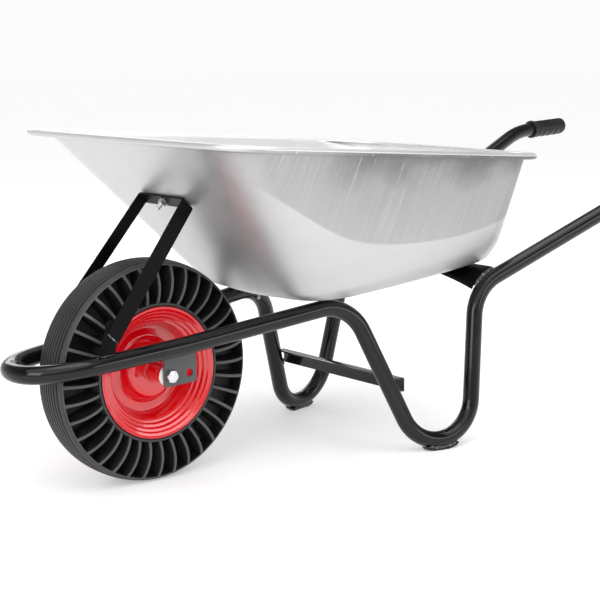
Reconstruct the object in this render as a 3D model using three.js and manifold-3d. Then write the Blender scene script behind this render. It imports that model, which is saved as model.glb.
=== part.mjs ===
// Single-wheel steel wheelbarrow: drawn tray on one bent tube, solid tyre on a pressed rim.
// Millimetres, +Z up, +X from the wheel towards the handles, Y across; the ground is z = 0
// and the origin is on the ground under the middle of the wheelbarrow.
import * as THREE from "three";
import { ConvexGeometry } from "three/addons/geometries/ConvexGeometry.js";
import { mergeVertices } from "three/addons/utils/BufferGeometryUtils.js";
import Module from "manifold-3d";

const wasm = await Module();
wasm.setup();

// ---- driving dimensions: x from the axle, z from a datum just below the ground ----
const GAP = 0.3;                    // left between pieces that touch
const TYRE_RADIUS = 187;
const AXLE_HEIGHT = 190;
const GROUND = AXLE_HEIGHT - TYRE_RADIUS;
const TUBE_RADIUS = 15;
const TUBE_WALL = 1.5;
const AXLE_TO_CENTRE = 558.6;       // the origin lies this far behind the axle

// corners of one side of the frame tube, y as a distance from the middle plane
const NOSE_TIP = [-244, 0, 218];
const NOSE_START = [-130, 74, 227];
const RAIL_KINK = [20, 84, 239];
const FRONT_CORNER = [346, 124, 281];
const FOOT_CORNER = [534, 235, -181];
const REAR_CORNER = [607, 181, 284];
const HANDLE_CORNER = [1221, 270, 528];
const GRIP_END = [1376, 272, 536];
const FRONT_BEND_RADIUS = 80;
const FOOT_BEND_RADIUS = 76;
const REAR_BEND_RADIUS = 85;
const HANDLE_BEND_RADIUS = 240;

// tray: closed outlines in plan, each on its own slightly tilted plane
const RIM_OUTLINE = {
  front: -60, rear: 728, frontHalf: 334, rearHalf: 273,
  frontCorner: 108, rearCorner: 130, bow: 10, level: 577, slope: -0.0675,
};
const WALL_TOP = {
  front: -36, rear: 710, frontHalf: 309, rearHalf: 250,
  frontCorner: 135, rearCorner: 110, bow: 10, level: 569, slope: -0.0675,
};
const WALL_FOOT = {
  front: 208, rear: 708, frontHalf: 180, rearHalf: 175,
  frontCorner: 110, rearCorner: 72, bow: 6, level: 281, slope: 0.125,
};
const FLOOR_TURN = {
  front: 242, rear: 694, frontHalf: 166, rearHalf: 160,
  frontCorner: 100, rearCorner: 74, bow: 6, level: 271, slope: 0.092,
};
const FLOOR_OUTLINE = {
  front: 272, rear: 666, frontHalf: 150, rearHalf: 140,
  frontCorner: 90, rearCorner: 70, bow: 6, level: 268, slope: 0.081,
};
const FLANGE_WIDTH = 24;
const BEAD_RADIUS = 5.5;
const SHEET = 0.8;                  // horizontal and vertical step between the two skins
const WALL_SHEET = 1.2;             // what that step makes across a sloping wall, at most

// wheel
const RIB_COUNT = 36;
const RIB_THICKNESS = 5.5;
const POCKET_INNER = 119;
const POCKET_OUTER = 179;
const WEB_HALF = 10;
const HUB_RADIUS = 15;
const HUB_HALF = 66;
const AXLE_RADIUS = 6;
const BUSH_FLANGE_RADIUS = 18;
const BUSH_CLEARANCE = 0.14;        // corner to corner; the flats of the bore come closer

// axle bracket
const BRACKET_INNER = 71;
const BRACKET_THICKNESS = 4;
const SECOND_HOLE = [38.5, 190.5];

// strut, brace and plates
const STRUT_HALF = 64;              // half the crossbar along its top edge
const STRUT_FLARE = 6;              // how much longer each half is along its bottom edge
const STRUT_WIDTH = 24;
const STRUT_THICKNESS = 3.5;
const STRUT_TOP_HEIGHT = 480;
const STRUT_FOOT = [-122, -81, 279];
const LUG_OUTLINE = [[-140, 243], [-113, 245], [-104, 272], [-110, 298], [-119, 297]];
const LUG_THICKNESS = 4;
const BRACE_HALF = 168;
const GRIP_LENGTH = 112;
const GRIP_RADIUS = 18;
const TAB_THICKNESS = 3;
const REAR_PLATE_GRIP = 7;           // from the floor down past the arch beside a rear bolt
const FRONT_BOLT_LENGTH = 33;
const REAR_BOLT_LENGTH = 19;

// ---- colours ----
const paint = (color, roughness, metalness) =>
  new THREE.MeshStandardMaterial({ color, roughness, metalness });
const BLACK_PAINT = paint(0x1c1c1e, 0.3, 0.1);
const GALVANISED = paint(0xc9cbcc, 0.38, 0.9);
const RED_PAINT = paint(0xc8101c, 0.22, 0.2);
const RUBBER = paint(0x2b2c2d, 0.8, 0);
const GRIP_RUBBER = paint(0x18181a, 0.7, 0);
const ZINC = paint(0xd4d6d8, 0.3, 0.9);
const WHITE_NYLON = paint(0xf0f0ec, 0.5, 0);

// ---- solids ----
function outward(geometry) {
  geometry.deleteAttribute("normal");
  geometry.deleteAttribute("uv");
  const merged = mergeVertices(geometry, 1e-4);
  const at = merged.getAttribute("position");
  const [a, b, c] = [new THREE.Vector3(), new THREE.Vector3(), new THREE.Vector3()];
  const kept = [];
  let volume = 0;
  for (let i = 0; i < merged.index.count; i += 3) {
    const face = [0, 1, 2].map((k) => merged.index.getX(i + k));
    if (new Set(face).size < 3) continue;
    kept.push(face);
    a.fromBufferAttribute(at, face[0]);
    b.fromBufferAttribute(at, face[1]);
    c.fromBufferAttribute(at, face[2]);
    volume += a.dot(b.cross(c));
  }
  merged.setIndex(kept.flatMap((face) => (volume < 0 ? face.toReversed() : face)));
  return merged;
}

function solid(geometry) {
  const closed = outward(geometry.clone());
  return new wasm.Manifold(new wasm.Mesh({
    numProp: 3,
    vertProperties: new Float32Array(closed.getAttribute("position").array),
    triVerts: new Uint32Array(closed.index.array),
  }));
}

function geometryOf(body) {
  const mesh = body.getMesh();
  const geometry = new THREE.BufferGeometry();
  geometry.setAttribute("position", new THREE.BufferAttribute(mesh.vertProperties, 3));
  geometry.setIndex(new THREE.BufferAttribute(mesh.triVerts, 1));
  return geometry;
}

const cut = (geometry, ...tools) =>
  geometryOf(tools.reduce((body, tool) => body.subtract(solid(tool)), solid(geometry)));

const join = (geometry, ...others) =>
  geometryOf(others.reduce((body, other) => body.add(solid(other)), solid(geometry)));

// a rod along Y
function rod(radius, from, to, sides = 20) {
  return new THREE.CylinderGeometry(radius, radius, to - from, sides).translate(0, (from + to) / 2, 0);
}

// a ring section turned about Y: points are [radius, y]
function turned(points, sides) {
  const profile = [...points, points[0]].map(([r, y]) => new THREE.Vector2(r, y));
  return outward(new THREE.LatheGeometry(profile, sides));
}

// an outline in the XZ plane, as thick as from..to along Y
function plateXZ(points, from, to, holes = []) {
  const shape = new THREE.Shape(points.map(([x, z]) => new THREE.Vector2(x, z)));
  for (const [x, z, radius] of holes) {
    shape.holes.push(new THREE.Path().absarc(x, z, radius, 0, 2 * Math.PI, true));
  }
  const options = { depth: to - from, bevelEnabled: false, curveSegments: 10 };
  return new THREE.ExtrudeGeometry(shape, options).rotateX(Math.PI / 2).translate(0, to, 0);
}

function hexagon(acrossFlats, from, to, bore = 0) {
  const radius = acrossFlats / Math.sqrt(3);
  const corners = [0, 1, 2, 3, 4, 5].map((k) => k * Math.PI / 3 + 0.35);
  const points = corners.map((angle) => [radius * Math.cos(angle), radius * Math.sin(angle)]);
  return plateXZ(points, from, to, bore ? [[0, 0, bore]] : []);
}

// lays a piece made along Y so that its Y axis points along direction, with its origin at place
function aim(geometry, direction, place) {
  const turn = new THREE.Quaternion().setFromUnitVectors(
    new THREE.Vector3(0, 1, 0), new THREE.Vector3(...direction).normalize());
  return geometry.applyQuaternion(turn).translate(...place);
}

const mirrored = (geometry) => geometry.clone().scale(1, -1, 1);

// ---- bent tubes ----
const side = ([x, y, z], sign) => new THREE.Vector3(x, sign * y, z);

// points along an arc of the radius that rounds the corner between two straight runs
function bend(before, corner, after, radius, count) {
  const back = before.clone().sub(corner).normalize();
  const on = after.clone().sub(corner).normalize();
  const half = back.angleTo(on) / 2;
  const middle = back.clone().add(on).normalize();
  const centre = corner.clone().addScaledVector(middle, radius / Math.sin(half));
  const start = corner.clone().addScaledVector(back, radius / Math.tan(half)).sub(centre);
  const axis = start.clone().cross(middle.clone().negate()).normalize();
  const sweep = Math.PI - 2 * half;
  const points = [];
  for (let i = 0; i <= count; i += 1) {
    points.push(start.clone().applyAxisAngle(axis, sweep * i / count).add(centre));
  }
  return points;
}

// one side of the centre line, from the nose tip to just inside the grip
function sideLine(sign) {
  const [tip, start, kink, front, foot, rear, handle, end] = [
    NOSE_TIP, NOSE_START, RAIL_KINK, FRONT_CORNER, FOOT_CORNER, REAR_CORNER, HANDLE_CORNER, GRIP_END,
  ].map((corner) => side(corner, sign));
  const along = start.clone().sub(kink).normalize();
  const nose = new THREE.CubicBezierCurve3(
    tip, new THREE.Vector3(tip.x, sign * 47, tip.z), start.clone().addScaledVector(along, 71), start);
  const tubeEnd = end.clone().add(handle.clone().sub(end).setLength(7));
  return [
    ...nose.getSpacedPoints(8),
    kink,
    ...bend(kink, front, foot, FRONT_BEND_RADIUS, 6),
    ...bend(front, foot, rear, FOOT_BEND_RADIUS, 11),
    ...bend(foot, rear, handle, REAR_BEND_RADIUS, 5),
    ...bend(rear, handle, end, HANDLE_BEND_RADIUS, 4),
    tubeEnd,
  ];
}

class StationCurve extends THREE.Curve {
  constructor(stations) {
    super();
    this.stations = stations;
  }
  getPoint(t) {
    const place = t * (this.stations.length - 1);
    const before = Math.min(Math.floor(place), this.stations.length - 2);
    return this.stations[before].clone().lerp(this.stations[before + 1], place - before);
  }
  getUtoTmapping(u) {
    return u;
  }
}

function bentTube(stations, radius, bore) {
  const shape = new THREE.Shape().absarc(0, 0, radius, 0, 2 * Math.PI, false);
  if (bore) shape.holes.push(new THREE.Path().absarc(0, 0, bore, 0, 2 * Math.PI, true));
  return new THREE.ExtrudeGeometry(shape, {
    extrudePath: new StationCurve(stations), steps: stations.length - 1, curveSegments: 6,
  });
}

const centreLine = [...sideLine(-1).slice(1).reverse(), ...sideLine(1)];
const aroundTube = bentTube(centreLine, TUBE_RADIUS + GAP + 0.15, 0);

// ---- tray ----
// a closed outline with bowed sides and rounded corners, moved in by inset and up by lift
function trayRing(outline, inset, lift) {
  const front = outline.front + inset;
  const rear = outline.rear - inset;
  const frontHalf = outline.frontHalf - inset;
  const rearHalf = outline.rearHalf - inset;
  const corners = [[front, -frontHalf], [rear, -rearHalf], [rear, rearHalf], [front, frontHalf]]
    .map(([x, y]) => new THREE.Vector2(x, y));
  const radii = [outline.frontCorner, outline.rearCorner, outline.rearCorner, outline.frontCorner];
  const path = new THREE.Path();
  corners.forEach((corner, i) => {
    const next = corners[(i + 1) % 4];
    const along = next.clone().sub(corner).normalize();
    const out = new THREE.Vector2(along.y, -along.x);
    const start = corner.clone().addScaledVector(along, radii[i]);
    const stop = next.clone().addScaledVector(along, -radii[(i + 1) % 4]);
    const middle = start.clone().add(stop).multiplyScalar(0.5).addScaledVector(out, outline.bow * 2);
    if (i === 0) path.moveTo(start.x, start.y);
    path.quadraticCurveTo(middle.x, middle.y, stop.x, stop.y);
    const turn = corners[(i + 2) % 4].clone().sub(next).normalize();
    const leave = next.clone().addScaledVector(turn, radii[(i + 1) % 4]);
    path.quadraticCurveTo(next.x, next.y, leave.x, leave.y);
  });
  return path.getPoints(6).slice(0, -1)
    .map(({ x, y }) => new THREE.Vector3(x, y, outline.level + outline.slope * x + lift));
}

// skins a stack of rings that starts and ends at a single middle point
function loft(rings, first, last) {
  const count = rings[0].length;
  const points = [...rings.flat(), first, last];
  const index = [];
  for (let k = 0; k < count; k += 1) {
    const next = (k + 1) % count;
    index.push(rings.length * count, next, k);
    for (let i = 0; i + 1 < rings.length; i += 1) {
      const [low, high] = [i * count, (i + 1) * count];
      index.push(low + k, low + next, high + next, low + k, high + next, high + k);
    }
    const top = (rings.length - 1) * count;
    index.push(rings.length * count + 1, top + k, top + next);
  }
  const geometry = new THREE.BufferGeometry().setFromPoints(points);
  geometry.setIndex(index);
  return geometry;
}

function tray() {
  const skin = (step) => [
    trayRing(FLOOR_OUTLINE, step, step),
    trayRing(FLOOR_TURN, step, step),
    trayRing(WALL_FOOT, step, step),
    trayRing(WALL_TOP, step, 0),
    trayRing(RIM_OUTLINE, FLANGE_WIDTH - 2.5 + step, -3 + step),
    trayRing(RIM_OUTLINE, FLANGE_WIDTH - 7, -SHEET + step),
  ];
  const bead = [150, 200, 250, 300, 0, 80].map((degrees) => {
    const angle = degrees * Math.PI / 180;
    const inset = BEAD_RADIUS * (1 - Math.cos(angle));
    return trayRing(RIM_OUTLINE, inset, BEAD_RADIUS * (Math.sin(angle) - 1));
  });
  const middle = (lift) => new THREE.Vector3(440, 0, FLOOR_OUTLINE.level + FLOOR_OUTLINE.slope * 440 + lift);
  const rings = [...skin(0), ...bead, ...skin(SHEET).reverse()];
  return loft(rings, middle(0), middle(SHEET));
}

// ---- wheel ----
// both faces of a sheet whose middle follows the points
function sheetOutline(points, thickness) {
  const line = points.map(([r, y]) => new THREE.Vector2(r, y));
  const offset = (distance) => line.map((point, i) => {
    const before = line[Math.max(i - 1, 0)];
    const after = line[Math.min(i + 1, line.length - 1)];
    const along = after.clone().sub(before).normalize();
    return [point.x - along.y * distance, point.y + along.x * distance];
  });
  return [...offset(thickness / 2), ...offset(-thickness / 2).reverse()];
}

function rimDisc(sign) {
  const profile = [
    [HUB_RADIUS + 1.3, 23], [39, 23], [46, 19], [53, 5], [58, 1.5], [71, 1.5], [76, 5], [82, 25],
    [88, 29.5], [91.5, 33.5], [97, 35], [99.5, 38], [111, 42],
  ].map(([r, y]) => [r, sign * y]);
  return turned(sheetOutline(profile, 2), 36);
}

function tyre() {
  const half = [
    [87, 25], [95, 30.5], [111, 38.2], [113.5, 42.5], [135, 45.5], [160, 43.5], [182.5, 33],
    [185.5, 22], [TYRE_RADIUS, 8],
  ];
  const profile = [...half, ...half.map(([r, y]) => [r, -y]).reverse()];
  const body = turned(profile, 2 * RIB_COUNT);
  const pockets = [];
  for (let i = 0; i < RIB_COUNT; i += 1) {
    for (const from of [WEB_HALF, -WEB_HALF - 60]) {
      const halfWidth = (radius) => Math.PI * radius / RIB_COUNT - RIB_THICKNESS / 2;
      const [inner, outer] = [halfWidth(POCKET_INNER), halfWidth(POCKET_OUTER)];
      const pocket = plateXZ([[POCKET_INNER, -inner], [POCKET_OUTER, -outer],
        [POCKET_OUTER, outer], [POCKET_INNER, inner]], from, from + 60);
      pockets.push(pocket.rotateY((i + 0.5) * 2 * Math.PI / RIB_COUNT));
    }
  }
  return cut(body, ...pockets);
}

function hubTube() {
  return turned([[HUB_RADIUS - 2, -HUB_HALF], [HUB_RADIUS, -HUB_HALF],
    [HUB_RADIUS, HUB_HALF], [HUB_RADIUS - 2, HUB_HALF]], 24);
}

function hubBush() {
  const bore = AXLE_RADIUS + BUSH_CLEARANCE;
  const sleeve = HUB_RADIUS - 2 - GAP;
  return turned([[bore, HUB_HALF - 22], [sleeve, HUB_HALF - 22], [sleeve, HUB_HALF + GAP],
    [BUSH_FLANGE_RADIUS, HUB_HALF + GAP], [BUSH_FLANGE_RADIUS, HUB_HALF + 4], [bore, HUB_HALF + 4]], 24);
}

// ---- axle ----
function axleBracket() {
  const outline = [[-11, 176], [-8, 172], [51, 175], [53, 178], [52, 245], [-13, 236]];
  const holes = [[0, AXLE_HEIGHT, AXLE_RADIUS + 0.4], [...SECOND_HOLE, AXLE_RADIUS + 0.5]];
  const plate = plateXZ(outline, -BRACKET_INNER - BRACKET_THICKNESS, -BRACKET_INNER, holes);
  const above = new THREE.BoxGeometry(120, 40, 40).translate(20, -85, 257);
  return cut(plate, aroundTube, above);
}

function axleBolt() {
  const seat = BRACKET_INNER + BRACKET_THICKNESS + GAP;
  const head = hexagon(19, -seat - 7.5, -seat);
  return join(head, rod(AXLE_RADIUS, -seat - 1, seat + 16)).translate(0, 0, AXLE_HEIGHT);
}

function axleNut() {
  const seat = BRACKET_INNER + BRACKET_THICKNESS + GAP;
  return hexagon(19, seat + 2 + GAP, seat + 12 + GAP, AXLE_RADIUS + 0.35).translate(0, 0, AXLE_HEIGHT);
}

function axleWasher() {
  const seat = BRACKET_INNER + BRACKET_THICKNESS + GAP;
  return turned([[AXLE_RADIUS + 0.35, seat], [12, seat], [12, seat + 2], [AXLE_RADIUS + 0.35, seat + 2]], 24)
    .translate(0, 0, AXLE_HEIGHT);
}

// ---- strut ----
// the outside of the front wall in the middle plane, as [x, z]
const wallLine = [WALL_TOP, WALL_FOOT].map(({ front, bow, level, slope }) => {
  const x = front - bow;
  return new THREE.Vector3(x, 0, level + slope * x);
});
const wallDown = wallLine[1].clone().sub(wallLine[0]).normalize();
const wallOut = new THREE.Vector3(wallDown.z, 0, -wallDown.x);
const strutTop = wallLine[0].clone()
  .addScaledVector(wallDown, (STRUT_TOP_HEIGHT - wallLine[0].z) / wallDown.z)
  .addScaledVector(wallOut, GAP);

const strutLow = strutTop.clone().addScaledVector(wallDown, STRUT_WIDTH);

// a flat plate with straight edges, as thick as from..to along its normal
function flatPlate(corners, normal, from, to) {
  return new ConvexGeometry([from, to].flatMap((lift) =>
    corners.map((corner) => corner.clone().addScaledVector(normal, lift))));
}

// the left leg: its front edge runs from the crossbar's top corner to the foot
const legTop = strutTop.clone().setY(-STRUT_HALF);
const legRear = strutLow.clone().setY(-STRUT_HALF - STRUT_FLARE);
const legFoot = new THREE.Vector3(...STRUT_FOOT);
const legIn = legTop.clone().sub(legFoot).cross(legRear.clone().sub(legTop)).normalize();

function frontStrut() {
  const across = (point) => point.clone().setY(-point.y);
  const bar = flatPlate([legTop, legRear, across(legTop), across(legRear)], wallOut, 0, STRUT_THICKNESS);
  const heel = legFoot.clone().add(legRear).sub(legTop);
  const leg = flatPlate([legTop, legRear, legFoot, heel], legIn, 0, STRUT_THICKNESS);
  return join(cut(bar, ...strutBoltHole()), leg, mirrored(leg));
}

const strutBoltPlace = strutTop.clone().add(strutLow).multiplyScalar(0.5);
const strutBoltHole = () => [aim(rod(3.6, -20, 20, 16), wallOut.toArray(), strutBoltPlace.toArray())];

// lies flat against the inside of the leg, and stands on the rail
function strutLug() {
  const onLeg = ([x, z]) => {
    const place = new THREE.Vector3(x, 0, z);
    place.y = -place.clone().sub(legFoot).dot(legIn) / legIn.y;
    return place;
  };
  const corners = LUG_OUTLINE.map(onLeg);
  const seat = STRUT_THICKNESS + GAP;
  return cut(flatPlate(corners, legIn, seat, seat + LUG_THICKNESS), aroundTube);
}

// ---- cross brace, rear plate, tray tabs ----
function crossBrace() {
  const [web, top, drop, reach] = [441, 139, 27, 22];
  const outline = [[web, top], [web, top - drop], [web - 3, top - drop], [web - 3, top - 3],
    [web - reach, top - 3], [web - reach, top]];
  return cut(plateXZ(outline, -BRACE_HALF, BRACE_HALF), aroundTube);
}

// an arched saddle across both tubes under the rear of the floor: its crown lies along the floor,
// and its ends turn up with the bends that they are welded to
function rearPlate() {
  const [front, depth, half, rise, thickness, twist] = [600, 54, 172, 31, 4, 0.5];
  const arch = (drop) => new THREE.QuadraticBezierCurve(
    new THREE.Vector2(-half, -rise - drop), new THREE.Vector2(0, rise - drop),
    new THREE.Vector2(half, -rise - drop)).getPoints(14);
  const shape = new THREE.Shape([...arch(0), ...arch(thickness).reverse()]);
  const sheet = new THREE.ExtrudeGeometry(shape, { depth, bevelEnabled: false });
  sheet.rotateX(Math.PI / 2).rotateZ(Math.PI / 2);
  const at = sheet.getAttribute("position");
  for (let i = 0; i < at.count; i += 1) {
    const reach = (at.getY(i) / half) ** 2;
    const along = at.getX(i);
    at.setZ(i, at.getZ(i) + along * (FLOOR_OUTLINE.slope + twist * reach));
  }
  sheet.translate(front, 0, FLOOR_OUTLINE.level + FLOOR_OUTLINE.slope * front - GAP);
  return cut(sheet, aroundTube, ...rearBoltHoles());
}

function trayTab() {
  const z = FLOOR_OUTLINE.level + FLOOR_OUTLINE.slope * 314;
  const tab = new THREE.BoxGeometry(30, 34, TAB_THICKNESS).translate(0, -95, -TAB_THICKNESS / 2 - GAP);
  tab.rotateY(-Math.atan(FLOOR_OUTLINE.slope)).translate(314, 0, z);
  return cut(tab, aroundTube, boltHole(FRONT_BOLT));
}

// ---- tray bolts ----
const floorNormal = new THREE.Vector3(-FLOOR_OUTLINE.slope, 0, 1).normalize();
const onFloor = (x, y) => [x, y, FLOOR_OUTLINE.level + FLOOR_OUTLINE.slope * x];
const FRONT_BOLT = onFloor(314, -93);
const REAR_BOLT = onFloor(628, -45);
const boltHole = (place) => aim(rod(3.6, -30, 30, 16), floorNormal.toArray(), place);
const rearBoltHoles = () => [boltHole(REAR_BOLT), mirrored(boltHole(REAR_BOLT))];

// a flat round-headed bolt through the sheet, the head inside the tray at +Y
function roundBolt(length) {
  const seat = WALL_SHEET + GAP;
  const head = turned([[0.01, seat], [8.5, seat], [7, seat + 2.6], [0.01, seat + 3.4]], 16);
  return join(head, rod(3, -length, seat + 1, 12));
}

const boltNut = (seat) => hexagon(10, -seat - 5, -seat, 3.35);

// ---- grips and feet ----
function grip() {
  const bore = TUBE_RADIUS + GAP;
  const profile = [[bore, 0], [GRIP_RADIUS + 2, 0], [GRIP_RADIUS + 2, 6], [GRIP_RADIUS, 9],
    [GRIP_RADIUS, GRIP_LENGTH - 7], [GRIP_RADIUS - 5, GRIP_LENGTH - 1], [0, GRIP_LENGTH],
    [0, GRIP_LENGTH - 5], [bore, GRIP_LENGTH - 5]].map(([r, y]) => new THREE.Vector2(r, y));
  const sleeve = outward(new THREE.LatheGeometry([...profile.slice(6), ...profile.slice(0, 7)], 24));
  const end = side(GRIP_END, -1);
  const along = end.clone().sub(side(HANDLE_CORNER, -1)).normalize();
  return aim(sleeve, along.toArray(), end.addScaledVector(along, -GRIP_LENGTH).toArray());
}

// a curved strap under the foot bend, ground flat where it stands
function footShoe() {
  const corner = side(FOOT_CORNER, -1);
  const back = side(FRONT_CORNER, -1).sub(corner).normalize();
  const on = side(REAR_CORNER, -1).sub(corner).normalize();
  const up = back.clone().add(on).normalize();
  const centre = corner.addScaledVector(up, FOOT_BEND_RADIUS / Math.sin(back.angleTo(on) / 2));
  const across = back.clone().cross(on).normalize();
  const along = up.clone().cross(across).normalize();
  const [inner, outer] = [FOOT_BEND_RADIUS + TUBE_RADIUS + GAP + 0.5, FOOT_BEND_RADIUS + TUBE_RADIUS + 5.5];
  const shape = new THREE.Shape().absarc(0, 0, outer, -1.84, -1.09, false);
  shape.absarc(0, 0, inner, -1.09, -1.84, true);
  const strap = new THREE.ExtrudeGeometry(shape, { depth: 20, bevelEnabled: false, curveSegments: 8 });
  strap.translate(0, 0, -10).applyMatrix4(new THREE.Matrix4().makeBasis(along, up, across));
  strap.translate(centre.x, centre.y, centre.z);
  const ground = new THREE.BoxGeometry(300, 200, 40).translate(500, -200, GROUND - 20);
  return cut(strap, ground);
}

// ---- assembly ----
const wheelbarrow = new THREE.Group();
const body = new THREE.Group();
body.position.set(-AXLE_TO_CENTRE, 0, -GROUND);
wheelbarrow.add(body);

function add(name, geometry, material) {
  const mesh = new THREE.Mesh(outward(geometry), material);
  mesh.name = name;
  body.add(mesh);
  return mesh;
}

function addPair(name, geometry, material) {
  add(`${name}_left`, geometry, material);
  add(`${name}_right`, mirrored(geometry), material);
}

add("frame_tube", bentTube(centreLine, TUBE_RADIUS, TUBE_RADIUS - TUBE_WALL), BLACK_PAINT);
addPair("axle_bracket", axleBracket(), BLACK_PAINT);
addPair("strut_lug", strutLug(), BLACK_PAINT);
addPair("tray_tab", trayTab(), BLACK_PAINT);
addPair("foot_shoe", footShoe(), BLACK_PAINT);
addPair("grip", grip(), GRIP_RUBBER);
add("front_strut", frontStrut(), BLACK_PAINT);
add("cross_brace", crossBrace(), BLACK_PAINT);
add("rear_plate", rearPlate(), BLACK_PAINT);

const holes = [boltHole(FRONT_BOLT), boltHole(REAR_BOLT)];
add("tray", cut(tray(), ...holes, ...holes.map(mirrored), ...strutBoltHole()), GALVANISED);

const trayBolts = [["front", FRONT_BOLT, TAB_THICKNESS + 2 * GAP, FRONT_BOLT_LENGTH],
  ["rear", REAR_BOLT, REAR_PLATE_GRIP, REAR_BOLT_LENGTH]];
for (const [name, place, clamped, length] of trayBolts) {
  const upright = (geometry) => aim(geometry, floorNormal.toArray(), place);
  addPair(`${name}_tray_bolt`, upright(roundBolt(length)), ZINC);
  addPair(`${name}_tray_nut`, upright(boltNut(clamped)), ZINC);
}
const inward = wallOut.clone().negate().toArray();
const wallFace = strutBoltPlace.clone().addScaledVector(wallOut, -GAP);
add("strut_bolt", aim(roundBolt(20), inward, wallFace.toArray()), ZINC);
add("strut_nut", aim(boltNut(STRUT_THICKNESS + 2 * GAP), inward, wallFace.toArray()), ZINC);

add("axle_bolt", axleBolt(), ZINC);
add("axle_washer", axleWasher(), ZINC);
add("axle_nut", axleNut(), ZINC);

const wheel = { tyre: [tyre(), RUBBER], hub_tube: [hubTube(), RED_PAINT],
  rim_disc_left: [rimDisc(-1), RED_PAINT], rim_disc_right: [rimDisc(1), RED_PAINT],
  hub_bush_right: [hubBush(), WHITE_NYLON], hub_bush_left: [mirrored(hubBush()), WHITE_NYLON] };
for (const [name, [geometry, material]] of Object.entries(wheel)) {
  add(name, geometry, material).position.z = AXLE_HEIGHT;
}

export default wheelbarrow;
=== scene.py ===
"""A single-wheel steel wheelbarrow: the looks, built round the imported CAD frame.

Lengths in the constants are millimetres, x from the axle, z from the same datum as in the CAD.
at(x, y, z) turns them into metres in the frame of the part.
"""
import math
import random

import bmesh
import bpy
from mathutils import Matrix, Quaternion, Vector


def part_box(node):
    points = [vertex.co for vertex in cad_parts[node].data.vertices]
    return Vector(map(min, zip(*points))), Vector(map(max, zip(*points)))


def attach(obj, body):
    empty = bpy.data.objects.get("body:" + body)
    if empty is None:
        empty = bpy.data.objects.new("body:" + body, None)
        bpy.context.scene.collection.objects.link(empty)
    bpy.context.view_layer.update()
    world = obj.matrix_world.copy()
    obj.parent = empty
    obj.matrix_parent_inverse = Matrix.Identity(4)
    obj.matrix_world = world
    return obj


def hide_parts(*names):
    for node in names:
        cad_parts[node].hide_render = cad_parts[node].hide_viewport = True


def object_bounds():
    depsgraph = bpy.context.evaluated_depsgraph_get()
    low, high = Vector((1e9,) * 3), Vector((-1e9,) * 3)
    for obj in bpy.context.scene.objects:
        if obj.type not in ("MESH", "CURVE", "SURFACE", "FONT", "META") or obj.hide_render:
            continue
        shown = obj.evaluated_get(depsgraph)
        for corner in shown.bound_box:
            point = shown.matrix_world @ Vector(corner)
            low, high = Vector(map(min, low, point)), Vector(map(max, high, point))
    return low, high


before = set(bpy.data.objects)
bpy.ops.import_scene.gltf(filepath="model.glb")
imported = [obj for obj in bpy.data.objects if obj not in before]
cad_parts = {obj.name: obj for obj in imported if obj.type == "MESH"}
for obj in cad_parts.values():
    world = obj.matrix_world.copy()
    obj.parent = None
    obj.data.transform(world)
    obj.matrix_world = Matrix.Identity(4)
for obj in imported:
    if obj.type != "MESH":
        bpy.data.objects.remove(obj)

cad_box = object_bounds()
GROUND = cad_box[0].z
TURN = 2 * math.pi
MM = 0.001
SIDES = ((-1, "_left"), (1, "_right"))


def middle(node):
    low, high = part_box(node)
    return (low + high) / 2


AXLE = middle("tyre")
AXLE_HEIGHT = 190
ON_AXLE = Matrix.Translation(AXLE)


def at(x, y, z):
    return Vector((AXLE.x + x * MM, y * MM, AXLE.z + (z - AXLE_HEIGHT) * MM))


def shares(count):
    """Equal steps from 0 to 1."""
    return [k / count for k in range(count + 1)]


def round_angles(count):
    return [TURN * k / count for k in range(count)]


# ---- material tools
MATERIALS = {}


def start_tree(owner):
    """Makes the owner's node tree the one that the functions below add to."""
    global tree
    owner.use_nodes = True
    tree = owner.node_tree


def fill(socket, value):
    """Links an output to the socket, or sets the socket to a constant."""
    if isinstance(value, bpy.types.NodeSocket):
        tree.links.new(value, socket)
    else:
        socket.default_value = value


def shader(name, **values):
    """Starts a material, its constant values set on the Principled shader's own sockets."""
    MATERIALS[name] = bpy.data.materials.new(name)
    start_tree(MATERIALS[name])
    for socket, value in values.items():
        tree.nodes["Principled BSDF"].inputs[socket.replace("_", " ")].default_value = value


def node(kind, inputs=None, **settings):
    made = tree.nodes.new("ShaderNode" + kind)
    for key, value in settings.items():
        setattr(made, key, value)
    for key, value in (inputs or {}).items():
        fill(made.inputs[key], value)
    return made


def split(vector):
    """The X, Y and Z outputs of a vector."""
    return node("SeparateXYZ", {0: vector}).outputs


def facing():
    """The surface's direction, in the piece's own axes."""
    return split(node("TexCoord").outputs["Normal"])


def place(stretch=(1, 1, 1)):
    """Position on the piece at rest, in metres, stretched."""
    spot = node("TexCoord").outputs["Object"]
    return node("Mapping", {"Vector": spot, "Scale": stretch}).outputs[0]


def noise(scale, stretch=(1, 1, 1), detail=4.0, roughness=0.55):
    return node("TexNoise", {"Vector": place(stretch), "Scale": scale, "Detail": detail,
                             "Roughness": roughness}).outputs["Fac"]


def between(value, low, high, start=0.0, end=1.0, smooth=False):
    """Maps low..high on to start..end, and holds it there outside."""
    kind = "SMOOTHSTEP" if smooth else "LINEAR"
    return node("MapRange", {"Value": value, "From Min": low, "From Max": high, "To Min": start,
                             "To Max": end}, interpolation_type=kind).outputs[0]


def maths(operation, first, second=0.0):
    return node("Math", {0: first, 1: second}, operation=operation).outputs[0]


def vector_maths(operation, first, second=(0, 0, 0)):
    return node("VectorMath", {0: first, 1: second}, operation=operation)


def plus(first, second):
    return maths("ADD", first, second)


def minus(first, second):
    return maths("SUBTRACT", first, second)


def times(first, second):
    return maths("MULTIPLY", first, second)


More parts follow.
